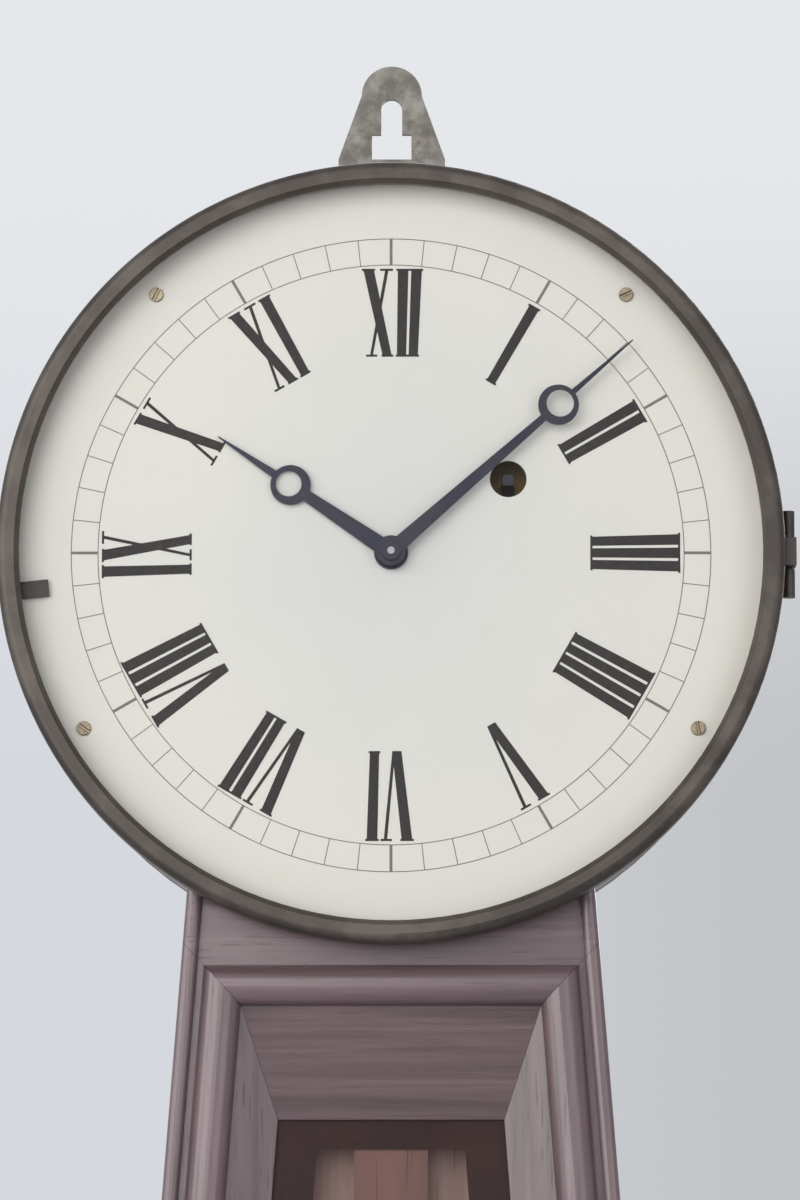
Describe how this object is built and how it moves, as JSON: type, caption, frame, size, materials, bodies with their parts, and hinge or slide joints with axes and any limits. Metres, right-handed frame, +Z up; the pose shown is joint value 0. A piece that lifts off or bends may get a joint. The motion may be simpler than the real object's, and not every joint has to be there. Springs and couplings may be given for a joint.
{
  "type": "regulator wall clock",
  "caption": "Round-headed wall regulator clock with a flared glazed throat, a glazed box door, a weight-driven train and a wooden pendulum rod.",
  "frame": {"origin": "axis of the wall hook in the top of the hanger's slot, at the wall plane", "axes": "+Z up, +X to the right as seen from the front, -Y out of the wall towards the viewer"},
  "size_m": [0.35, 0.13, 1.126],
  "materials": {
    "mahogany": "satin polished mahogany",
    "inner_board": "plain reddish board",
    "rod_wood": "reddish varnished flat rod",
    "drum_finish": "dark stained",
    "bezel_finish": "dark bronzed brass",
    "dial_paint": "matt white paint",
    "glass": "clear",
    "tablet_glass": "clear with a painted black border",
    "hanger_iron": "tarnished",
    "blued_steel": "blued",
    "brass": "lacquered",
    "steel": "polished",
    "iron": "cast",
    "line": "twisted gut"
  },
  "bodies": {
    "root": {"backboard": "inner_board", "hanger_plate": "hanger_iron", "hanger_screws": "hanger_iron", "drum_shell": "drum_finish", "dial_plate": "dial_paint", "dial_screws": "brass", "bezel_hinge_leaf": "bezel_finish", "throat_side_left": "mahogany", "throat_side_right": "mahogany", "throat_frame": "mahogany", "throat_glass": "tablet_glass", "baffle_board": "inner_board", "box_side_left": "mahogany", "box_side_right": "mahogany", "box_top": "mahogany", "box_floor": "mahogany", "door_hinge_leaves": "brass", "movement_spacers": "brass", "plate_pillars": "brass", "pillar_nuts": "brass", "back_plate": "brass", "front_plate": "brass", "suspension_cock": "brass", "weight_line": "line", "weight_line_fixed": "line"},
    "bezel": {"bezel_ring": "bezel_finish", "dial_glass": "glass", "bezel_catch": "bezel_finish"},
    "door": {"door_frame": "mahogany", "door_glass": "tablet_glass", "door_hinge_door_leaves": "brass"},
    "door_catch": {"door_turn_catch": "brass"},
    "barrel": {"barrel": "brass", "winding_arbor": "steel"},
    "great_wheel": {"great_wheel": "brass", "click_spring": "blued_steel"},
    "click": {"click": "blued_steel"},
    "centre": {"centre_arbor": "steel", "centre_wheel": "brass", "hand_nut": "blued_steel"},
    "third": {"third_arbor": "steel", "third_wheel": "brass"},
    "escape": {"escape_arbor": "steel", "escape_wheel": "brass"},
    "pallets": {"pallets": "steel", "crutch": "steel"},
    "minute": {"cannon_pinion": "steel", "minute_hand": "blued_steel"},
    "motion": {"minute_wheel": "brass"},
    "hour": {"hour_wheel": "brass", "hour_hand": "blued_steel"},
    "pendulum": {"suspension_spring": "steel", "keystone_ring": "brass", "pendulum_rod": "rod_wood", "rating_screw": "steel"},
    "bob": {"pendulum_bob": "brass"},
    "rating_nut": {"rating_nut": "brass"},
    "weight": {"weight": "iron", "pulley_stirrup": "steel"},
    "pulley": {"pulley": "brass"}
  },
  "joints": [
    {"name": "bezel_hinge", "type": "hinge", "parent": "root", "child": "bezel", "pos_m": [0.164, -0.088, -0.207], "axis": [0, 0, 1], "range_deg": [0, 115]},
    {"name": "door_hinge", "type": "hinge", "parent": "root", "child": "door", "pos_m": [0.1677, -0.1005, -0.957], "axis": [0, 0, 1], "range_deg": [0, 110]},
    {"name": "door_catch_turn", "type": "hinge", "parent": "door", "child": "door_catch", "pos_m": [-0.14645, -0.12, -0.957], "axis": [0, 1, 0], "range_deg": [0, 90]},
    {"name": "weight_fall", "type": "slide", "parent": "root", "child": "weight", "axis": [0, 0, -1], "range_m": [0, 0.45], "deforming": ["weight_line", "weight_line_fixed"]},
    {"name": "barrel_turn", "type": "hinge", "parent": "root", "child": "barrel", "pos_m": [0.0483, -0.045, -0.1762], "axis": [0, 1, 0], "range_deg": [-4280, 0]},
    {"name": "pulley_turn", "type": "hinge", "parent": "weight", "child": "pulley", "pos_m": [0.023, -0.036, -0.299], "axis": [0, 1, 0], "range_deg": [0, 1947]},
    {"name": "centre_turn", "type": "hinge", "parent": "root", "child": "centre", "pos_m": [0, -0.04, -0.207], "axis": [0, 1, 0], "continuous": true},
    {"name": "great_wheel_turn", "type": "hinge", "parent": "root", "child": "great_wheel", "pos_m": [0.0483, -0.026, -0.1762], "axis": [0, 1, 0], "continuous": true},
    {"name": "click_lift", "type": "hinge", "parent": "great_wheel", "child": "click", "pos_m": [0.02752, -0.03, -0.1642], "axis": [0, 1, 0], "range_deg": [0, 12], "stiffness_Nm_per_rad": 0.005, "springref_deg": -2.86},
    {"name": "third_wheel_turn", "type": "hinge", "parent": "root", "child": "third", "pos_m": [-0.01224, -0.04, -0.18418], "axis": [0, 1, 0], "continuous": true},
    {"name": "escape_wheel_turn", "type": "hinge", "parent": "root", "child": "escape", "pos_m": [-0.01131, -0.04, -0.1626], "axis": [0, 1, 0], "continuous": true},
    {"name": "minute_hand_turn", "type": "hinge", "parent": "root", "child": "minute", "pos_m": [0, -0.09, -0.207], "axis": [0, 1, 0], "continuous": true},
    {"name": "minute_wheel_turn", "type": "hinge", "parent": "root", "child": "motion", "pos_m": [-0.021, -0.08, -0.207], "axis": [0, 1, 0], "continuous": true},
    {"name": "hour_hand_turn", "type": "hinge", "parent": "root", "child": "hour", "pos_m": [0, -0.09, -0.207], "axis": [0, 1, 0], "continuous": true},
    {"name": "pendulum_swing", "type": "hinge", "parent": "root", "child": "pendulum", "pos_m": [0, -0.07, -0.143], "axis": [0, 1, 0], "range_deg": [-2.5, 2.5]},
    {"name": "pallets_swing", "type": "hinge", "parent": "root", "child": "pallets", "pos_m": [0, -0.07, -0.143], "axis": [0, 1, 0], "range_deg": [-2.5, 2.5]},
    {"name": "bob_rating", "type": "slide", "parent": "pendulum", "child": "bob", "axis": [0, 0, 1], "range_m": [-0.006, 0.006]},
    {"name": "rating_nut_turn", "type": "hinge", "parent": "bob", "child": "rating_nut", "pos_m": [0, -0.07, -1.024], "axis": [0, 0, 1], "range_deg": [-2701, 2701]}
  ],
  "couplings": [
    {"joint": "barrel_turn", "follows": "weight_fall", "rad_per_m": -165.98},
    {"joint": "pulley_turn", "follows": "weight_fall", "rad_per_m": 75.472},
    {"joint": "great_wheel_turn", "follows": "centre_turn", "ratio": -0.0625},
    {"joint": "third_wheel_turn", "follows": "centre_turn", "ratio": -8.25},
    {"joint": "escape_wheel_turn", "follows": "centre_turn", "ratio": 66},
    {"joint": "minute_hand_turn", "follows": "centre_turn", "ratio": 1},
    {"joint": "minute_wheel_turn", "follows": "centre_turn", "ratio": -0.33333},
    {"joint": "hour_hand_turn", "follows": "centre_turn", "ratio": 0.083333},
    {"joint": "pallets_swing", "follows": "pendulum_swing", "ratio": 1},
    {"joint": "rating_nut_turn", "follows": "bob_rating", "rad_per_m": 7854}
  ]
}
